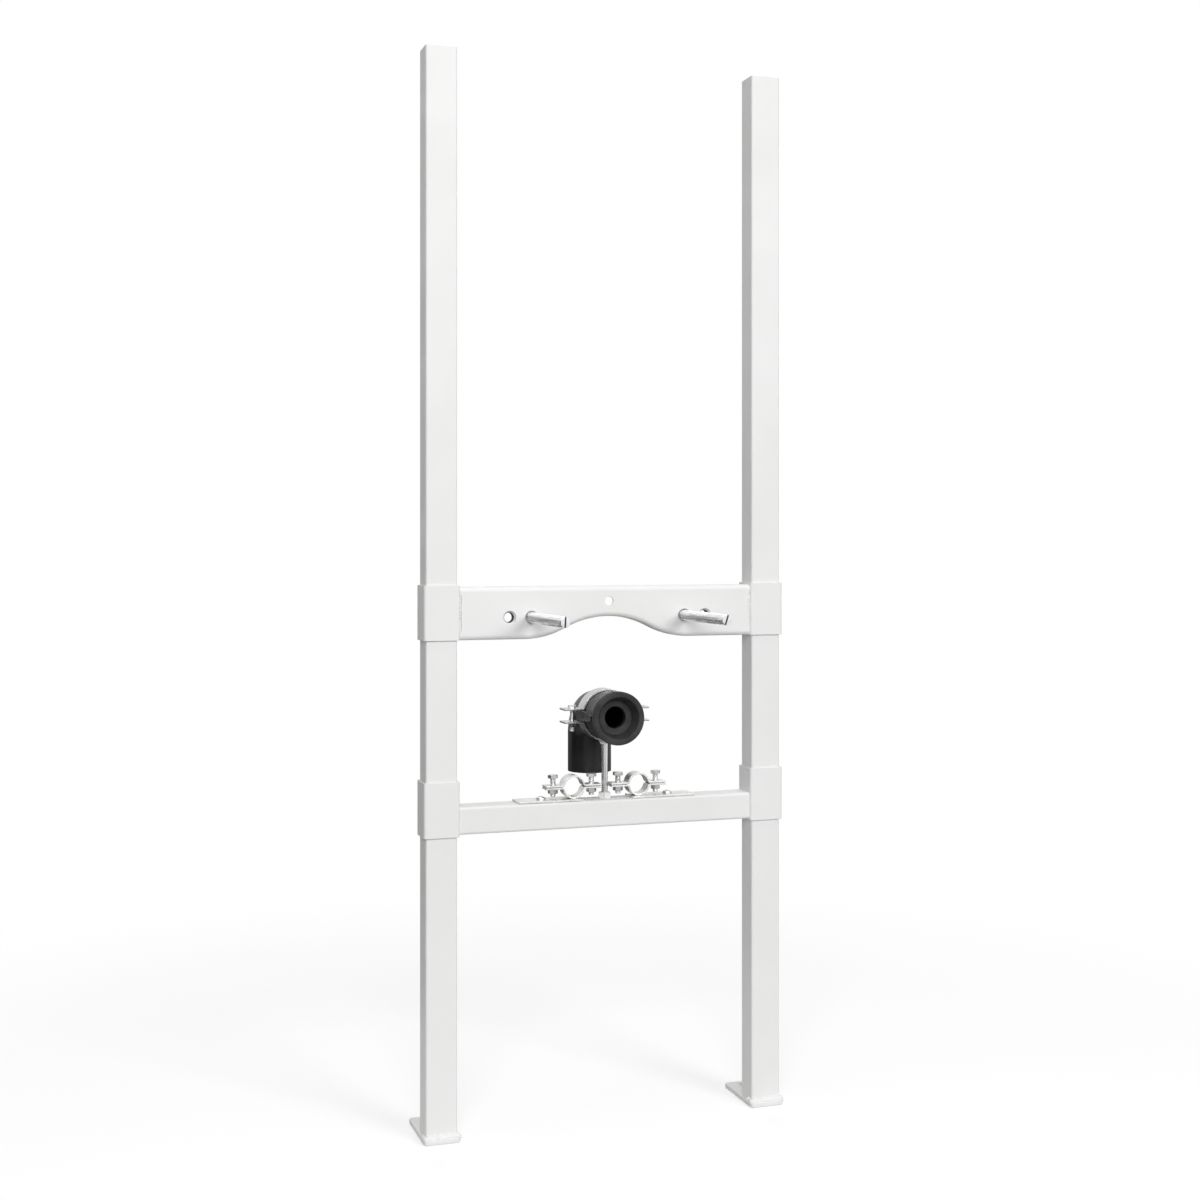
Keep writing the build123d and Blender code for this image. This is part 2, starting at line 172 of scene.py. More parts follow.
finishes = {
    "whitePaint": {
        "main": (0.86, 0.86, 0.855, 1), "patch": (0.84, 0.84, 0.832, 1), "tintScale": 9,
        "rough": (0.44, 0.58), "roughScale": 14, "grainScale": 900, "grainRough": 0.45,
        "bump": 0.22, "bumpHeight": 0.00006, "metallic": 0.0, "specular": 0.3,
    },
    "dullZinc": {
        "main": (0.76, 0.76, 0.75, 1), "patch": (0.67, 0.67, 0.65, 1), "tintScale": 60,
        "rough": (0.40, 0.54), "roughScale": 90, "grainScale": 1800, "grainRough": 0.6,
        "bump": 0.12, "bumpHeight": 0.00002, "metallic": 1.0, "specular": 0.5,
    },
    "brightZinc": {
        "main": (0.74, 0.75, 0.76, 1), "patch": (0.69, 0.69, 0.68, 1), "tintScale": 45,
        "rough": (0.18, 0.26), "roughScale": 90, "grainScale": 2600, "grainRough": 0.6,
        "bump": 0.10, "bumpHeight": 0.00002, "metallic": 1.0, "specular": 0.5,
    },
    "rolledZinc": {
        "main": (0.76, 0.77, 0.78, 1), "patch": (0.66, 0.65, 0.63, 1), "tintScale": 70,
        "rough": (0.24, 0.36), "roughScale": 120, "grainScale": 3000, "grainRough": 0.6,
        "bump": 0.10, "bumpHeight": 0.00002, "metallic": 1.0, "specular": 0.5,
    },
    "studZinc": {
        "main": (0.80, 0.81, 0.82, 1), "patch": (0.76, 0.76, 0.76, 1), "tintScale": 40,
        "rough": (0.13, 0.18), "roughScale": 60, "grainScale": 3000, "grainRough": 0.6,
        "bump": 0.04, "bumpHeight": 0.00001, "metallic": 1.0, "specular": 0.5,
    },
    # a darker copy of the zinc for the clamp strap: painted shade standing in for the grey reflections on its
    # band
    "strapZincShaded": {
        "main": (0.50, 0.50, 0.50, 1), "patch": (0.43, 0.43, 0.42, 1), "tintScale": 50,
        "rough": (0.22, 0.32), "roughScale": 90, "grainScale": 2600, "grainRough": 0.6,
        "bump": 0.08, "bumpHeight": 0.00002, "metallic": 1.0, "specular": 0.5,
    },
    # unpainted oily thread, made darker than bare steel is: painted shade for the bores and recesses it lines
    "bareThreadAndShade": {
        "main": (0.22, 0.215, 0.21, 1), "patch": (0.13, 0.125, 0.12, 1), "tintScale": 150,
        "rough": (0.35, 0.55), "roughScale": 200, "grainScale": 3000, "grainRough": 0.6,
        "bump": 0.2, "bumpHeight": 0.00002, "metallic": 1.0, "specular": 0.5,
    },
    "blackPlastic": {
        "main": (0.010, 0.010, 0.011, 1), "patch": (0.016, 0.016, 0.017, 1), "tintScale": 30,
        "rough": (0.28, 0.42), "roughScale": 40, "grainScale": 2200, "grainRough": 0.55,
        "bump": 0.2, "bumpHeight": 0.00003, "metallic": 0.0, "specular": 0.25,
    },
    "blackRubber": {
        "main": (0.024, 0.024, 0.025, 1), "patch": (0.038, 0.038, 0.038, 1), "tintScale": 60,
        "rough": (0.52, 0.72), "roughScale": 70, "grainScale": 1700, "grainRough": 0.65,
        "bump": 0.4, "bumpHeight": 0.00005, "metallic": 0.0, "specular": 0.3,
    },
}


def makeFinish(name, values):
    material = bpy.data.materials.new(name)
    material.use_nodes = True
    tree = material.node_tree
    shader = tree.nodes["Principled BSDF"]
    shader.inputs["Metallic"].default_value = values["metallic"]
    shader.inputs["Specular IOR Level"].default_value = values["specular"]

    def placed(group, **inputs):
        node = addNode(tree, "ShaderNodeGroup", node_tree=groups[group])
        for label, value in inputs.items():
            node.inputs[label].default_value = value
        return node.outputs[0]

    low, high = values["rough"]
    bump = addNode(tree, "ShaderNodeBump")
    bump.inputs["Strength"].default_value = values["bump"]
    bump.inputs["Distance"].default_value = values["bumpHeight"]
    tint = placed("tint", Main=values["main"], Patch=values["patch"], Scale=values["tintScale"])
    feed(tree, shader.inputs["Base Color"], tint)
    feed(tree, shader.inputs["Roughness"], placed("handling", Scale=values["roughScale"], Low=low, High=high))
    grain = placed("grain", Scale=values["grainScale"], Roughness=values["grainRough"])
    feed(tree, bump.inputs["Height"], grain)
    feed(tree, shader.inputs["Normal"], bump.outputs["Normal"])
    return material


materials = {name: makeFinish(name, values) for name, values in finishes.items()}
slotFinish = {
    "white_paint": "whitePaint", "zinc_plate": "brightZinc",
    "black_plastic": "blackPlastic", "black_rubber": "blackRubber",
}
for nodeName, node in nodes.items():
    node.data.materials.clear()
    node.data.materials.append(materials[slotFinish[slotOf[nodeName]]])
print("finishes made:", len(materials))


# helpers for meshes and pieces
def evaluated(obj):
    mesh = bpy.data.meshes.new_from_object(obj.evaluated_get(bpy.context.evaluated_depsgraph_get()))
    bpy.data.objects.remove(obj)
    return mesh


def held(mesh):
    # a working object that only carries modifiers
    obj = bpy.data.objects.new("working", mesh)
    scene.collection.objects.link(obj)
    return obj


def smoothed(mesh, angle):
    mesh.polygons.foreach_set("use_smooth", [True] * len(mesh.polygons))
    mesh.set_sharp_from_angle(angle=math.radians(angle))
    return mesh


def joined(*meshes):
    shell = bmesh.new()
    for mesh in meshes:
        shell.from_mesh(mesh)
    result = bpy.data.meshes.new("joined")
    shell.to_mesh(result)
    shell.free()
    return result


def ringMesh(rings, loop=False):
    # rings of points from below upwards, closed by caps or back on to the first ring
    count = len(rings[0])
    points = [p for ring in rings for p in ring]
    faces = []
    for r in range(len(rings) if loop else len(rings) - 1):
        a, b = r * count, (r + 1) % len(rings) * count
        faces += [(a + i, a + (i + 1) % count, b + (i + 1) % count, b + i) for i in range(count)]
    if not loop:
        faces += [tuple(reversed(range(count))), tuple(range(len(points) - count, len(points)))]
    mesh = bpy.data.meshes.new("rings")
    mesh.from_pydata(points, [], faces)
    return mesh


def turned(profile, count=72, loop=True):
    # profile of (radius, height) in millimetres, turned round Z
    turns = [i * math.tau / count for i in range(count)]
    rings = [[(r * math.cos(t) * mm, r * math.sin(t) * mm, z * mm) for t in turns] for r, z in profile]
    return ringMesh(rings, loop)


def softened(profile, radius, steps=4):
    # rounds each corner of a closed profile
    points = []
    for i, corner in enumerate(profile):
        here = Vector(corner)
        before, after = Vector(profile[i - 1]) - here, Vector(profile[(i + 1) % len(profile)]) - here
        start = here + before.normalized() * min(radius, 0.45 * before.length)
        end = here + after.normalized() * min(radius, 0.45 * after.length)
        for s in range(steps + 1):
            t = s / steps
            points.append(start * (1 - t) ** 2 + here * 2 * t * (1 - t) + end * t ** 2)
    return points


def cutBy(mesh, *cutters):
    obj = held(mesh)
    tools = []
    for cutter in cutters:
        tools.append(held(cutter))
        tool = obj.modifiers.new("cut", "BOOLEAN")
        tool.operation = "DIFFERENCE"
        tool.solver = "EXACT"
        tool.object = tools[-1]
    result = evaluated(obj)
    for tool in tools:
        bpy.data.objects.remove(tool)
    return result


def block(size, place, turn):
    shell = bmesh.new()
    scale = Matrix.Diagonal([*[s * mm for s in size], 1])
    bmesh.ops.create_cube(shell, size=1, matrix=Matrix.Translation(place) @ turn @ scale)
    mesh = bpy.data.meshes.new("block")
    shell.to_mesh(mesh)
    shell.free()
    return mesh


def addPiece(name, mesh, finish, like, replaced=()):
    # like names the node whose body the piece takes
    mesh.name = name
    mesh.materials.clear()
    mesh.materials.append(materials[finish])
    obj = bpy.data.objects.new(name, mesh)
    scene.collection.objects.link(obj)
    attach(obj, bodyOf[like])
    if replaced:
        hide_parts(*replaced)
    return obj


def bakeNodes(tree, settings, start=None):
    obj = held(start or bpy.data.meshes.new("start"))
    modifier = obj.modifiers.new("shape", "NODES")
    modifier.node_group = tree
    for item in tree.interface.items_tree:
        if item.in_out == "INPUT" and item.name in settings:
            modifier[item.identifier] = settings[item.name]
    return evaluated(obj)


def closeTree(tree, shape, given, result):
    # every tree ends the same way
    real = addNode(tree, "GeometryNodeRealizeInstances")
    paint = addNode(tree, "GeometryNodeSetMaterial")
    feed(tree, real.inputs["Geometry"], shape)
    feed(tree, paint.inputs["Geometry"], real.outputs["Geometry"])
    feed(tree, paint.inputs["Material"], given.outputs["Material"])
    feed(tree, result.inputs["Geometry"], paint.outputs["Geometry"])
    return tree


# a rolled thread along Z: a grid wrapped into a cylinder, with a helical vee cut into it
threadShape = {
    "crest": 0.50, "root": 0.94,  # where the vee starts and ends, as shares of half a pitch
    "depth": 0.34, "rows": 8,  # for each pitch
    "around": 33, "chamfer": 0.6,
}


def makeThreadTree():
    tree, given, result = newGroup(
        "rolledThread", "GeometryNodeTree",
        [("Length", "Float"), ("Radius", "Float"), ("Pitch", "Float"), ("Depth", "Float"),
         ("Chamfer", "Float"), ("Around", "Int"), ("Along", "Int"), ("Material", "Material")],
        [("Geometry", "Geometry")],
    )
    size = given.outputs
    grid = addNode(tree, "GeometryNodeMeshGrid")
    for label, source in (("Size X", 1), ("Size Y", 1),
                          ("Vertices X", size["Around"]), ("Vertices Y", size["Along"])):
        feed(tree, grid.inputs[label], source)
    place = addNode(tree, "ShaderNodeSeparateXYZ")
    feed(tree, place.inputs[0], addNode(tree, "GeometryNodeInputPosition").outputs[0])
    around = calc(tree, "ADD", place.outputs[0], 0.5)
    along = calc(tree, "ADD", place.outputs[1], 0.5)
    height = calc(tree, "MULTIPLY", along, size["Length"])
    phase = calc(tree, "FRACT", calc(tree, "ADD", calc(tree, "DIVIDE", height, size["Pitch"]), around))
    wave = calc(tree, "MULTIPLY", calc(tree, "ABSOLUTE", calc(tree, "SUBTRACT", phase, 0.5)), 2)
    vee = addNode(tree, "ShaderNodeMapRange")  # flat crests and roots
    feed(tree, vee.inputs["Value"], wave)
    feed(tree, vee.inputs["From Min"], threadShape["crest"])
    feed(tree, vee.inputs["From Max"], threadShape["root"])
    depth = calc(tree, "MULTIPLY", vee.outputs["Result"], size["Depth"])
    nearEnd = calc(tree, "MINIMUM", height, calc(tree, "SUBTRACT", size["Length"], height))
    lead = calc(tree, "MAXIMUM", calc(tree, "SUBTRACT", size["Chamfer"], nearEnd), 0)
    radius = calc(tree, "SUBTRACT", size["Radius"], calc(tree, "MAXIMUM", depth, lead))
    pastStart = calc(tree, "GREATER_THAN", along, 0.00001)
    beforeEnd = calc(tree, "LESS_THAN", along, 0.99999)
    inside = calc(tree, "MULTIPLY", pastStart, beforeEnd)
    radius = calc(tree, "MULTIPLY", radius, inside)  # the first and last rows close the ends
    angle = calc(tree, "MULTIPLY", around, math.tau)
    wrapped = addNode(tree, "ShaderNodeCombineXYZ")
    feed(tree, wrapped.inputs[0], calc(tree, "MULTIPLY", radius, calc(tree, "COSINE", angle)))
    feed(tree, wrapped.inputs[1], calc(tree, "MULTIPLY", radius, calc(tree, "SINE", angle)))
    feed(tree, wrapped.inputs[2], height)
    move = addNode(tree, "GeometryNodeSetPosition")
    feed(tree, move.inputs["Geometry"], grid.outputs["Mesh"])
    feed(tree, move.inputs["Position"], wrapped.outputs[0])
    merge = addNode(tree, "GeometryNodeMergeByDistance")
    feed(tree, merge.inputs["Geometry"], move.outputs["Geometry"])
    feed(tree, merge.inputs["Distance"], 0.002 * mm)
    return closeTree(tree, merge.outputs["Geometry"], given, result)


# one fastener repeated along a line, each turned by chance about its own axis
def makeFastenerTree():
    tree, given, result = newGroup(
        "fastenerRow", "GeometryNodeTree",
        [("Geometry", "Geometry"), ("Count", "Int"), ("Start", "Vector"), ("Step", "Vector"),
         ("Tilt", "Vector"), ("Spread", "Float"), ("Seed", "Int"), ("Material", "Material")],
        [("Geometry", "Geometry")],
    )
    row = addNode(tree, "GeometryNodeMeshLine")
    feed(tree, row.inputs["Count"], given.outputs["Count"])
    feed(tree, row.inputs["Start Location"], given.outputs["Start"])
    feed(tree, row.inputs["Offset"], given.outputs["Step"])
    chance = addNode(tree, "FunctionNodeRandomValue")
    feed(tree, chance.inputs[2], 0.0)
    feed(tree, chance.inputs[3], given.outputs["Spread"])
    feed(tree, chance.inputs["Seed"], given.outputs["Seed"])
    tilt = addNode(tree, "FunctionNodeEulerToRotation")
    feed(tree, tilt.inputs[0], given.outputs["Tilt"])
    screwed = addNode(tree, "FunctionNodeAxisAngleToRotation")
    feed(tree, screwed.inputs["Axis"], (0, 0, 1))
    feed(tree, screwed.inputs["Angle"], chance.outputs[1])
    both = addNode(tree, "FunctionNodeRotateRotation", rotation_space="LOCAL")
    feed(tree, both.inputs["Rotation"], tilt.outputs[0])
    feed(tree, both.inputs["Rotate By"], screwed.outputs[0])
    copies = addNode(tree, "GeometryNodeInstanceOnPoints")
    feed(tree, copies.inputs["Points"], row.outputs["Mesh"])
    feed(tree, copies.inputs["Instance"], given.outputs["Geometry"])
    feed(tree, copies.inputs["Rotation"], both.outputs[0])
    return closeTree(tree, copies.outputs["Instances"], given, result)


# a weld bead that follows a path, with the ripples of its runs and a lumpy surface
def makeWeldTree():
    tree, given, result = newGroup(
        "weldBead", "GeometryNodeTree",
        [("Geometry", "Geometry"), ("Size", "Float"), ("Ripple", "Float"), ("Spacing", "Float"),
         ("Lumps", "Float"), ("Fade", "Float"), ("Seed", "Float"), ("Material", "Material")],
        [("Geometry", "Geometry")],
    )
    path = addNode(tree, "GeometryNodeMeshToCurve")
    feed(tree, path.inputs["Mesh"], given.outputs["Geometry"])
    even = addNode(tree, "GeometryNodeResampleCurve", mode="LENGTH")
    feed(tree, even.inputs["Curve"], path.outputs["Curve"])
    feed(tree, even.inputs["Length"], calc(tree, "MULTIPLY", given.outputs["Size"], 0.16))
    along = addNode(tree, "GeometryNodeSplineParameter")
    turns = calc(tree, "MULTIPLY", along.outputs["Length"], math.tau)
    runs = calc(tree, "DIVIDE", turns, given.outputs["Spacing"])
    ripple = calc(tree, "MULTIPLY_ADD", calc(tree, "SINE", runs), given.outputs["Ripple"], 1.0)
    fromStart = along.outputs["Factor"]
    toEnd = calc(tree, "MINIMUM", fromStart, calc(tree, "SUBTRACT", 1.0, fromStart))
    fade = spread(tree, calc(tree, "DIVIDE", toEnd, given.outputs["Fade"]), 0.0, 1.0, 0.4, 1.0)
    girth = calc(tree, "MULTIPLY", calc(tree, "MULTIPLY", ripple, fade), given.outputs["Size"])
    profile = addNode(tree, "GeometryNodeCurvePrimitiveCircle")
    feed(tree, profile.inputs["Resolution"], 20)
    feed(tree, profile.inputs["Radius"], 1.0)
    bead = addNode(tree, "GeometryNodeCurveToMesh")
    feed(tree, bead.inputs["Curve"], even.outputs["Curve"])
    feed(tree, bead.inputs["Profile Curve"], profile.outputs["Curve"])
    feed(tree, bead.inputs["Scale"], girth)
    feed(tree, bead.inputs["Fill Caps"], True)
    noise = addNode(tree, "ShaderNodeTexNoise", noise_dimensions="4D")
    feed(tree, noise.inputs["W"], given.outputs["Seed"])
    feed(tree, noise.inputs["Scale"], 190.0)
    feed(tree, noise.inputs["Detail"], 2.0)
    lump = calc(tree, "MULTIPLY", calc(tree, "SUBTRACT", noise.outputs["Fac"], 0.5), given.outputs["Lumps"])
    outward = addNode(tree, "ShaderNodeVectorMath", operation="SCALE")
    feed(tree, outward.inputs[0], addNode(tree, "GeometryNodeInputNormal").outputs[0])
    feed(tree, outward.inputs["Scale"], lump)
    move = addNode(tree, "GeometryNodeSetPosition")
    feed(tree, move.inputs["Geometry"], bead.outputs["Mesh"])
    feed(tree, move.inputs["Offset"], outward.outputs[0])
    return closeTree(tree, move.outputs["Geometry"], given, result)


threadTree = makeThreadTree()
fastenerTree = makeFastenerTree()
weldTree = makeWeldTree()
print("node trees built")


# steel and plastic that keeps its solid's form, with its edges broken
def mergedCopy(nodeName):
    mesh = nodes[nodeName].data.copy()
    shell = bmesh.new()
    shell.from_mesh(mesh)
    bmesh.ops.remove_doubles(shell, verts=shell.verts, dist=0.002 * mm)
    bmesh.ops.dissolve_limit(shell, angle_limit=math.radians(0.5), verts=shell.verts, edges=shell.edges)
    shell.to_mesh(mesh)
    shell.free()
    return mesh


def finished(nodeName, edge):
    obj = held(smoothed(mergedCopy(nodeName), 180))
    bevel = obj.modifiers.new("brokenEdges", "BEVEL")
    bevel.width = edge * mm
    bevel.segments = 3
    bevel.limit_method = "ANGLE"
    bevel.angle_limit = math.radians(35)
    bevel.use_clamp_overlap = False
    flats = obj.modifiers.new("flatFaces", "WEIGHTED_NORMAL")
    flats.keep_sharp = True
    return evaluated(obj)


edgeBreaks = {
    "left_upright": 0.35, "right_upright": 0.35, "left_foot_plate": 0.8, "right_foot_plate": 0.8,
    "upper_left_sleeve": 0.4, "upper_right_sleeve": 0.4, "lower_left_sleeve": 0.4, "lower_right_sleeve": 0.4,
    "upper_crossbar": 0.5, "lower_crossbar": 0.35,
    "elbow_clamp_upper": 0.3, "elbow_clamp_lower": 0.3, "left_clip_plate": 0.25, "right_clip_plate": 0.25,
    "left_clip_lower": 0.3, "right_clip_lower": 0.3, "left_clip_upper": 0.3, "right_clip_upper": 0.3,
    "clamp_rod": 0.4, "waste_elbow": 0.5,
}


def sheetFinish(nodeName):
    if "_clip_" in nodeName:
        return "dullZinc"
    # the clamp strap takes the darker zinc copy, which is painted shade
    if "elbow_clamp" in nodeName:
        return "strapZincShaded"
    return slotFinish[slotOf[nodeName]]


for nodeName, edge in edgeBreaks.items():
    addPiece(nodeName + "_shown", finished(nodeName, edge), sheetFinish(nodeName), nodeName, [nodeName])
print("edges broken on", len(edgeBreaks), "pieces")


# threads, heads and nuts
crownShare = 0.475  # of a hexagon's flats, where its chamfer starts
shankSink = 0.3  # thread that runs up into the head
nutBite = 0.1  # nut's bore inside the thread's radius


def thread(radius, pitch, length, chamfer=threadShape["chamfer"]):
    settings = {
        "Length": length * mm, "Radius": radius * mm, "Pitch": pitch * mm,
        "Depth": threadShape["depth"] * pitch * mm, "Chamfer": chamfer * mm,
        "Around": threadShape["around"], "Along": round(length / pitch * threadShape["rows"]),
        "Material": materials["rolledZinc"],
    }
    return bakeNodes(threadTree, settings)


def hexRings(flats, levels, count=48):
    # levels of (flare, height): flare None follows the hexagon, a number is a circle's radius
    crown = crownShare * flats
    rings = []
    for flare, height in levels:
        ring = []
        for i in range(count):
            t = i * math.tau / count
            hexagon = flats / 2 / math.cos(t % (math.pi / 3) - math.pi / 6)
            drop = (hexagon - crown) * math.tan(math.radians(30))
            if flare is None:
                radius, z = hexagon, height
            elif flare in ("crownTop", "crownBase"):
                radius, z = hexagon, height - drop if flare == "crownTop" else height + drop
            else:
                radius, z = flare, height
            ring.append((radius * math.cos(t) * mm, radius * math.sin(t) * mm, z * mm))
        rings.append(ring)
    return rings


def hexHead(flats, height):
    crown = crownShare * flats
    return ringMesh(hexRings(flats, [(crown, 0), (None, 0.15), ("crownTop", height), (crown, height)]))


def hexNut(flats, height, bore):
    crown = crownShare * flats
    levels = [
        (bore + 0.5, 0), (crown, 0), ("crownBase", 0), ("crownTop", height), (crown, height),
        (bore + 0.5, height), (bore, height - 0.5), (bore, 0.5),
    ]
    return ringMesh(hexRings(flats, levels), loop=True)


def hangingShank(radius, pitch, length):
    shank = thread(radius, pitch, length + shankSink)
    shank.transform(Matrix.Translation((0, 0, shankSink * mm)) @ Matrix.Rotation(math.pi, 4, "X"))
    return shank


def hexBolt(flats, head, radius, pitch, length):
    # head upwards from the origin, thread downwards
    return joined(hexHead(flats, head), hangingShank(radius, pitch, length))


def addRow(nodeName, fastener, start, step, count=2, tilt=(0, 0, 0), wobble=60, seed=0, finish=None):
    finish = finish or slotFinish[slotOf[nodeName]]
    settings = {
        "Count": count, "Start": start, "Step": step, "Tilt": tilt, "Spread": math.radians(wobble),
        "Seed": seed, "Material": materials[finish],
    }
    mesh = smoothed(bakeNodes(fastenerTree, settings, fastener), 32)
    addPiece(nodeName + "_shown", mesh, finish, nodeName, [nodeName])


def centre(nodeName):
    low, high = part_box(nodeName)
    return (Vector(low) + Vector(high)) / 2


clipBolts = {
    "gap": 45.0, "flats": 10.0, "head": 4.0, "nut": 5.0, "radius": 3.0, "pitch": 1.0, "length": 20.5,
}
clampBolts = {
    "gap": 76.8, "flats": 8.0, "head": 3.5, "nut": 4.7, "radius": 2.5, "pitch": 0.8, "length": 26.0,
}


def addBolts(boltNode, nutNode, sizes, seed):
    # two bolts, gap apart along X, and the nuts below them
    step = Vector((sizes["gap"] * mm, 0, 0))
    first = centre(boltNode) - step / 2
    first.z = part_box(boltNode)[1][2] - sizes["head"] * mm
    bolt = hexBolt(sizes["flats"], sizes["head"], sizes["radius"], sizes["pitch"], sizes["length"])
    addRow(boltNode, bolt, first[:], step[:], seed=seed, finish="rolledZinc")
    first.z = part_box(nutNode)[0][2]
    nut = hexNut(sizes["flats"], sizes["nut"], sizes["radius"] - nutBite)
    addRow(nutNode, nut, first[:], step[:], seed=seed + 7)


addBolts("left_clip_bolts", "left_clip_nuts", clipBolts, 3)
addBolts("right_clip_bolts", "right_clip_nuts", clipBolts, 5)
addBolts("elbow_clamp_bolts", "elbow_clamp_nuts", clampBolts, 11)

lockScrews = {
    "gap": 382.0, "flats": 13.0, "head": 5.3, "nut": 6.8, "radius": 4.0, "pitch": 1.25, "length": 13.0,
}
facingBack = (math.radians(-90), 0, 0)  # Z turned to point backwards
for rail, seed in (("upper", 21), ("lower", 23)):
    screwNode, nutNode = rail + "_lock_screws", rail + "_lock_nuts"
    step = (lockScrews["gap"] * mm, 0, 0)
    half = lockScrews["gap"] * mm / 2
    height = centre(screwNode).z
    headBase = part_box(screwNode)[1][1] - lockScrews["head"] * mm
    screw = hexBolt(*[lockScrews[key] for key in ("flats", "head", "radius", "pitch", "length")])
    addRow(screwNode, screw, (-half, headBase, height), step, tilt=facingBack, seed=seed, finish="rolledZinc")
    nut = hexNut(lockScrews["flats"], lockScrews["nut"], lockScrews["radius"] - nutBite)
    addRow(nutNode, nut, (-half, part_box(nutNode)[0][1], height), step, tilt=facingBack, seed=seed + 1)

weldNuts = {"flats": 19.0, "height": 10.0, "bore": 5.9, "studGap": 180.0, "outerGap": 230.0}
for nodeName, gapName, seed in (("stud_weld_nuts", "studGap", 31), ("outer_weld_nuts", "outerGap", 33)):
    nut = hexNut(weldNuts["flats"], weldNuts["height"], weldNuts["bore"])
    gap = weldNuts[gapName] * mm
    start = (-gap / 2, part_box(nodeName)[0][1], centre(nodeName).z)
    addRow(nodeName, nut, start, (gap, 0, 0), tilt=facingBack, wobble=25, seed=seed)

nutThreads = {"root": 6.0, "crest": 5.3, "pitch": 1.75, "margin": 0.4, "wall": 0.6}


def nutThreadProfile():
    # a thin sleeve, plain outside and toothed inside
    length = weldNuts["height"] - 2 * nutThreads["margin"]
    outside = nutThreads["root"] + nutThreads["wall"]
    profile = [(outside, 0), (outside, length)]
    teeth = int(length / nutThreads["pitch"])
    for tooth in range(teeth, 0, -1):
        z = length * tooth / teeth
        profile += [(nutThreads["root"], z), (nutThreads["crest"], z - 0.5 * length / teeth)]
    return profile + [(nutThreads["root"], 0)]


# the outer weld nuts' threaded bores: unpainted thread, darkened further as painted shade in the bore
bore = turned(nutThreadProfile(), 48)
gap = weldNuts["outerGap"] * mm
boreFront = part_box("outer_weld_nuts")[0][1] + nutThreads["margin"] * mm
settings = {
    "Count": 2, "Start": (-gap / 2, boreFront, centre("outer_weld_nuts").z), "Step": (gap, 0, 0),
    "Tilt": facingBack, "Spread": 0.0, "Seed": 35, "Material": materials["bareThreadAndShade"],
}
mesh = smoothed(bakeNodes(fastenerTree, settings, bore), 20)
addPiece("outer_nut_threads", mesh, "bareThreadAndShade", "outer_weld_nuts")

rodNut = {"flats": 13.0, "height": 6.8, "bore": 3.6}
rodMiddle = centre("clamp_rod_nut")
nut = hexNut(rodNut["flats"], rodNut["height"], rodNut["bore"])
nutStart = (rodMiddle.x, rodMiddle.y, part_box("clamp_rod_nut")[0][2])
addRow("clamp_rod_nut", nut, nutStart, (0, 0, 0), count=1, wobble=25, seed=41)
print("bolts and nuts placed")


# slotted studs, fully threaded
studs = {
    "radius": 5.98, "pitch": 1.75, "chamfer": 1.2, "slotWidth": 1.8, "slotDepth": 3.0, "slotSlack": 1.02,
    "slotTurn": {"left_stud": 3, "right_stud": 18},  # degrees off upright
}


def paintSlotShade(obj, place, turn):
    # painted shade: the slot's floor and walls take the dark bare-thread finish, so that the recess reads as
    # shade
    obj.data.materials.append(materials["bareThreadAndShade"])
    halfWidth = studs["slotSlack"] * studs["slotWidth"] * mm / 2
    depth = studs["slotSlack"] * studs["slotDepth"] * mm
    for face in obj.data.polygons:
        offset = turn.inverted() @ (face.center - Vector(place))
        if abs(offset.x) < halfWidth and 0.1 * mm < offset.y < depth:
            face.material_index = 1


facingFront = Matrix.Rotation(math.radians(90), 4, "X")  # Z turned to point forwards
for nodeName, slotTurn in studs["slotTurn"].items():
    low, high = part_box(nodeName)
    middle = centre(nodeName)
    length = (high[1] - low[1]) / mm
    mesh = thread(studs["radius"], studs["pitch"], length, studs["chamfer"])
    mesh.transform(Matrix.Translation((middle.x, high[1], middle.z)) @ facingFront)
    slotSize = (studs["slotWidth"], 2 * studs["slotDepth"], 4 * studs["radius"])
    slotPlace = (middle.x, low[1], middle.z)
    turn = Matrix.Rotation(math.radians(slotTurn), 4, "Y")
    mesh = cutBy(mesh, block(slotSize, slotPlace, turn))
    stud = addPiece(nodeName + "_shown", smoothed(mesh, 40), "studZinc", nodeName, [nodeName])
    # painted shade in the stud's slot
    paintSlotShade(stud, slotPlace, turn)
print("studs threaded")


# pan-headed plate screws with a cross recess
plateScrew = {
    "headRadius": 5.5, "headHeight": 3.2, "radius": 3.0, "pitch": 1.0, "length": 12.0,
    "foot": 0.3, "domeReach": 2.3, "domeRise": 1.9, "domeCurve": 0.9, "domeSteps": 8,
    "crossWidth": 1.3, "crossSpan": 5.6, "crossDepth": 1.5,
}


def panScrew(turn):
    head, tall = plateScrew["headRadius"], plateScrew["headHeight"]
    reach, rise = plateScrew["domeReach"], plateScrew["domeRise"]
    profile = [(head - plateScrew["foot"], 0), (head, plateScrew["foot"])]
    for step in range(plateScrew["domeSteps"] + 1):
        t = step / plateScrew["domeSteps"] * math.pi / 2
        dome = math.sin(t) ** plateScrew["domeCurve"]
        profile.append((head - reach + reach * math.cos(t), tall - rise + rise * dome))
    mesh = turned(profile, 48, loop=False)
    arms = []
    for angle in (turn, turn + 90):
        size = (plateScrew["crossSpan"], plateScrew["crossWidth"], 2 * plateScrew["crossDepth"])
        arms.append(block(size, (0, 0, tall * mm), Matrix.Rotation(math.radians(angle), 4, "Z")))
    mesh = cutBy(mesh, *arms)
    return joined(mesh, hangingShank(*[plateScrew[key] for key in ("radius", "pitch", "length")]))


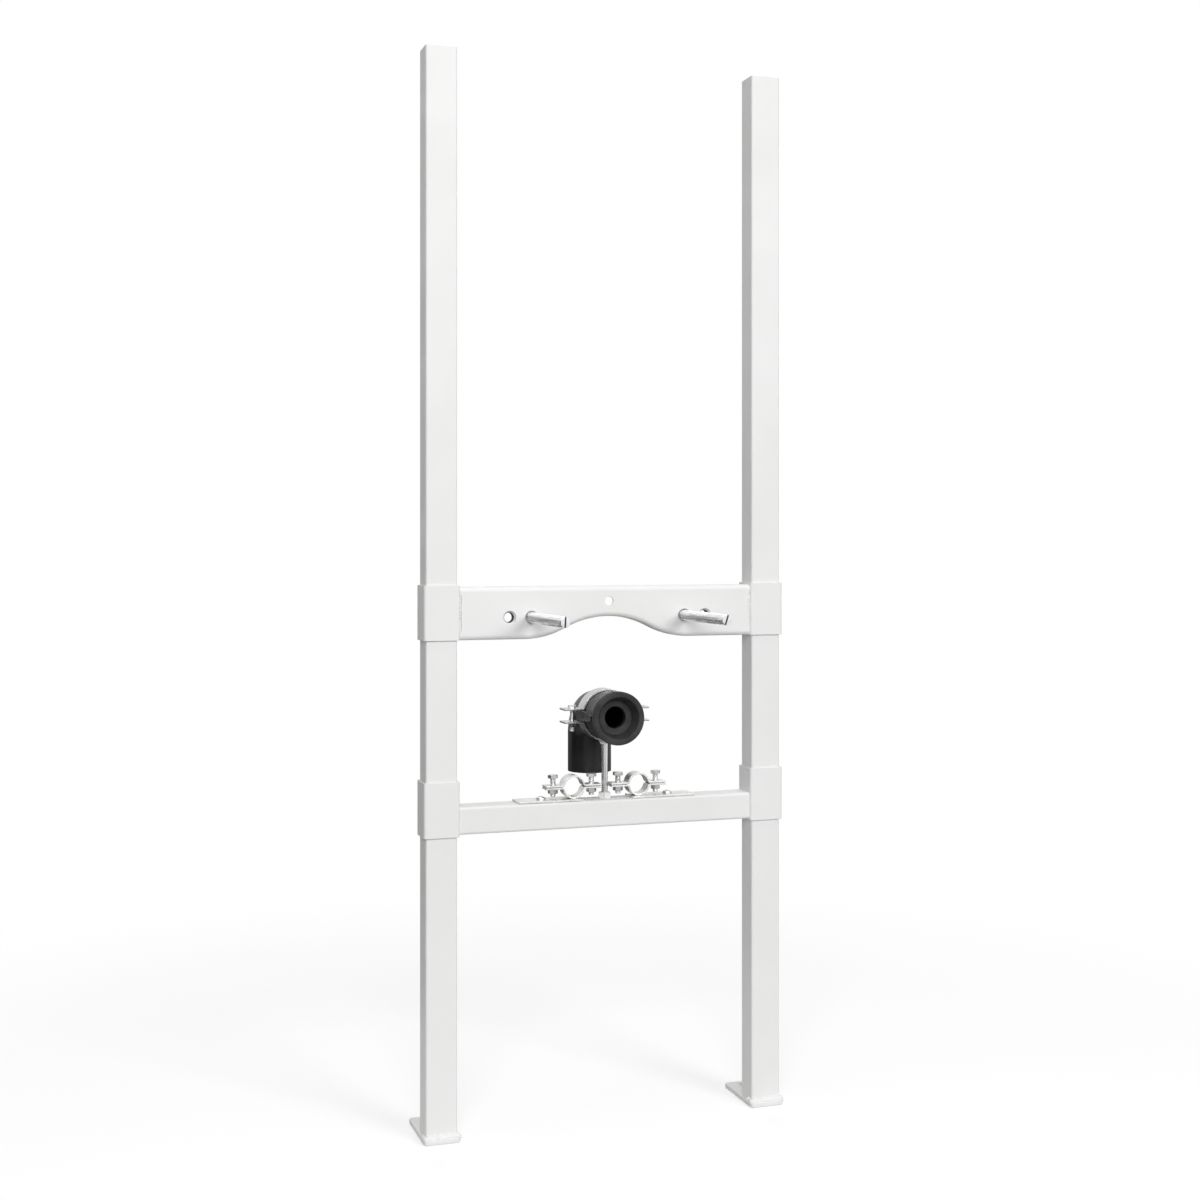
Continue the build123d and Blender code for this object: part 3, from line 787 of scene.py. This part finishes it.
for side, turn in (("left", 20), ("right", 52)):
    nodeName = side + "_plate_screw"
    seat = centre(nodeName)
    seat.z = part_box(nodeName)[1][2] - plateScrew["headHeight"] * mm
    mesh = panScrew(turn)
    mesh.transform(Matrix.Translation(seat))
    addPiece(nodeName + "_shown", smoothed(mesh, 32), "brightZinc", nodeName, [nodeName])
print("plate screws made")


# rubber seal: collar, cone, step and bore, with the soft edges of a moulding
seal = {
    "collarRadius": 29.5, "collarLength": 8.0, "mouthRadius": 23.5, "stepRadius": 18.75,
    "stepDepth": 13.0, "boreRadius": 12.0, "boreLength": 8.0, "plugRadius": 23.9, "plugLength": 20.0,
    "skin": 3.0, "soft": 1.1,
}


def sealProfile():
    # radius and distance behind the front face
    back = seal["collarLength"] + seal["plugLength"]
    stepBack = seal["stepDepth"] + seal["skin"]
    boreEnd = seal["stepDepth"] + seal["boreLength"]
    return [
        (seal["mouthRadius"], 0), (seal["collarRadius"], 0), (seal["collarRadius"], seal["collarLength"]),
        (seal["plugRadius"], seal["collarLength"]), (seal["plugRadius"], back),
        (seal["plugRadius"] - seal["skin"], back), (seal["plugRadius"] - seal["skin"], stepBack),
        (seal["boreRadius"] + seal["skin"], stepBack), (seal["boreRadius"] + seal["skin"], boreEnd),
        (seal["boreRadius"], boreEnd), (seal["boreRadius"], seal["stepDepth"]),
        (seal["stepRadius"], seal["stepDepth"]),
    ]


sealFront = centre("waste_seal")
sealFront.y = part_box("waste_seal")[0][1]
mesh = turned(softened(sealProfile(), seal["soft"]), 96)
mesh.transform(Matrix.Translation(sealFront) @ Matrix.Rotation(math.radians(-90), 4, "X"))
addPiece("waste_seal_shown", smoothed(mesh, 50), "blackRubber", "waste_seal", ["waste_seal"])
print("seal moulded")


# weld beads
footWeld = {
    "size": 3.3, "ripple": 0.13, "spacing": 11.0, "lumps": 2.6, "fade": 0.05, "wrap": 9.0, "proud": 0.6,
}
rodWeld = {
    "size": 2.1, "ripple": 0.10, "spacing": 4.6, "lumps": 1.0, "fade": 0.0001,
    "ring": 4.2, "rise": 1.6, "points": 24,
}
railWeld = {
    "size": 1.8, "ripple": 0.16, "spacing": 3.4, "lumps": 1.2, "fade": 0.06, "inset": 7.0,
    "behind": {"upper_crossbar": 3.0, "lower_crossbar": 30.0},  # behind each crossbar's front
}


def addWeld(name, points, sizes, seed, finish, like, closed=False):
    path = bpy.data.meshes.new("path")
    edges = [(i, i + 1) for i in range(len(points) - 1)]
    if closed:
        edges.append((len(points) - 1, 0))
    path.from_pydata(points, edges, [])
    settings = {
        "Size": sizes["size"] * mm, "Ripple": sizes["ripple"], "Spacing": sizes["spacing"] * mm,
        "Lumps": sizes["lumps"] * mm, "Fade": sizes["fade"], "Seed": seed, "Material": materials[finish],
    }
    addPiece(name, smoothed(bakeNodes(weldTree, settings, path), 60), finish, like)


for side, seed in (("left", 1.3), ("right", 4.1)):
    low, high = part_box(side + "_upright")
    out, wrap = footWeld["proud"] * mm, footWeld["wrap"] * mm
    level = low[2] + out
    corners = [
        (low[0] - out, low[1] + wrap, level), (low[0] - out, low[1] - out, level),
        (high[0] + out, low[1] - out, level), (high[0] + out, low[1] + wrap, level),
    ]
    addWeld(side + "_foot_weld", corners, footWeld, seed, "whitePaint", side + "_upright")

low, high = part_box("elbow_clamp_lower")
ringTurns = [i * math.tau / rodWeld["points"] for i in range(rodWeld["points"])]
ringPlace = Vector((0, (low[1] + high[1]) / 2, low[2] + rodWeld["rise"] * mm))
ringPoints = [ringPlace + Vector((math.cos(t), math.sin(t), 0)) * rodWeld["ring"] * mm for t in ringTurns]
addWeld("rod_weld", ringPoints, rodWeld, 2.7, "brightZinc", "elbow_clamp_lower", closed=True)

# behind the crossbars' ends, out of the photograph's sight
for nodeName, backOf in railWeld["behind"].items():
    low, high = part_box(nodeName)
    inset = railWeld["inset"] * mm
    for side, x, seed in (("left", low[0], 6.2), ("right", high[0], 8.4)):
        y = low[1] + backOf * mm
        ends = [(x, y, low[2] + inset), (x, y, high[2] - inset)]
        addWeld(f"{nodeName}_{side}_weld", ends, railWeld, seed, "whitePaint", nodeName)
print("welds laid")


# floor, light and the dark cards that only show in the zinc
studio = {
    "floorSize": 30.0, "floorDrop": 0.0004, "floorColor": 0.62, "floorLift": 0.47,
    "nearFloor": 0.45, "farFloor": 1.3,
    "ambient": 0.33, "farLight": 0.06,
    "lamps": {
        "key": {"place": (1.6, -3.8, 2.1), "aim": (0, 0, 0.8), "size": 1.8, "power": 70},
        "fill": {"place": (-0.8, -2.2, 1.5), "aim": (0, 0, 0.8), "size": 1.2, "power": 24},
        "overhead": {"place": (0.2, -0.3, 3.1), "aim": (0, -0.1, 0.0), "size": 2.2, "power": 14},
        "left": {"place": (-1.3, -0.2, 2.4), "aim": (-0.2, 0, 1.1), "size": 1.0, "power": 3},
        "rear": {"place": (0.7, 3.2, 1.9), "aim": (0, 0, 0.7), "size": 2.0, "power": 24,
                 "gloss": False},
    },
    "cards": {
        "frontCard": {
            "corners": [(-1.5, -3.0, 0.01), (1.5, -3.0, 0.01), (1.5, -0.25, 0.01), (-1.5, -0.25, 0.01)],
            "shade": 0.16,
        },
        "backCard": {
            "corners": [(-2.5, 0.4, 0.01), (2.5, 0.4, 0.01), (2.5, 6.0, 0.01), (-2.5, 6.0, 0.01)],
            "shade": 0.10,
        },
        "leftCard": {
            "corners": [(-1.5, -1.2, 0), (-1.5, 1.2, 0), (-1.5, 1.2, 1.1), (-1.5, -1.2, 1.1)],
            "shade": 0.08,
        },
    },
}


def seenRays(tree):
    # camera, mirror and glass rays see the white, the rest see the plain light level
    path = addNode(tree, "ShaderNodeLightPath")
    seen = calc(tree, "MAXIMUM", path.outputs["Is Camera Ray"], path.outputs["Is Glossy Ray"])
    return calc(tree, "MAXIMUM", seen, path.outputs["Is Transmission Ray"])


def flatMesh(name, corners, material):
    mesh = bpy.data.meshes.new(name)
    mesh.from_pydata(corners, [], [(0, 1, 2, 3)])
    mesh.materials.append(material)
    obj = bpy.data.objects.new(name, mesh)
    scene.collection.objects.link(obj)
    return obj


def addWorld():
    world = bpy.data.worlds.new("studio")
    scene.world = world
    world.use_nodes = True
    tree = world.node_tree
    back = tree.nodes["Background"]
    back.inputs["Color"].default_value = (1, 1, 1, 1)
    lift = calc(tree, "MULTIPLY_ADD", seenRays(tree), 1 - studio["ambient"], studio["ambient"])
    feed(tree, back.inputs["Strength"], lift)


def addFloor():
    material = bpy.data.materials.new("paleFloor")
    material.use_nodes = True
    tree = material.node_tree
    shader = tree.nodes["Principled BSDF"]
    shade = studio["floorColor"]
    shader.inputs["Base Color"].default_value = (shade, shade, shade, 1)
    shader.inputs["Roughness"].default_value = 1.0
    shader.inputs["Specular IOR Level"].default_value = 0.0
    shader.inputs["Emission Color"].default_value = (1, 1, 1, 1)
    seen = seenRays(tree)
    feed(tree, shader.inputs["Emission Strength"], calc(tree, "MULTIPLY", seen, studio["floorLift"]))
    white = addNode(tree, "ShaderNodeEmission")
    farGlow = calc(tree, "MULTIPLY_ADD", seen, 1 - studio["farLight"], studio["farLight"])
    feed(tree, white.inputs["Strength"], farGlow)
    coords = addNode(tree, "ShaderNodeTexCoord")
    reach = addNode(tree, "ShaderNodeVectorMath", operation="LENGTH")
    feed(tree, reach.inputs[0], coords.outputs["Object"])
    fade = spread(tree, reach.outputs["Value"], studio["nearFloor"], studio["farFloor"])
    mix = addNode(tree, "ShaderNodeMixShader")
    feed(tree, mix.inputs[0], fade)
    feed(tree, mix.inputs[1], shader.outputs[0])
    feed(tree, mix.inputs[2], white.outputs[0])
    feed(tree, tree.nodes["Material Output"].inputs["Surface"], mix.outputs[0])
    half = studio["floorSize"] / 2
    corners = [(-half, -half, 0), (half, -half, 0), (half, half, 0), (-half, half, 0)]
    flatMesh("floor", corners, material).location.z = -studio["floorDrop"]


def addCards():
    for name, card in studio["cards"].items():
        material = bpy.data.materials.new(name)
        material.use_nodes = True
        shader = material.node_tree.nodes["Principled BSDF"]
        shader.inputs["Base Color"].default_value = (*[card["shade"]] * 3, 1)
        shader.inputs["Roughness"].default_value = 0.9
        obj = flatMesh(name, card["corners"], material)
        obj.visible_camera = False
        obj.visible_diffuse = False
        obj.visible_shadow = False


def addLamps():
    for name, values in studio["lamps"].items():
        lamp = bpy.data.lights.new(name, "AREA")
        lamp.shape = "DISK"
        lamp.size = values["size"]
        lamp.energy = values["power"]
        obj = bpy.data.objects.new(name, lamp)
        obj.location = values["place"]
        obj.rotation_euler = (Vector(values["aim"]) - obj.location).to_track_quat("-Z", "Y").to_euler()
        obj.visible_glossy = values.get("gloss", True)  # the rear lamp stays out of the zinc
        scene.collection.objects.link(obj)


addWorld()
addFloor()
addCards()
addLamps()
scene.view_settings.view_transform = "Standard"
print("studio lit")
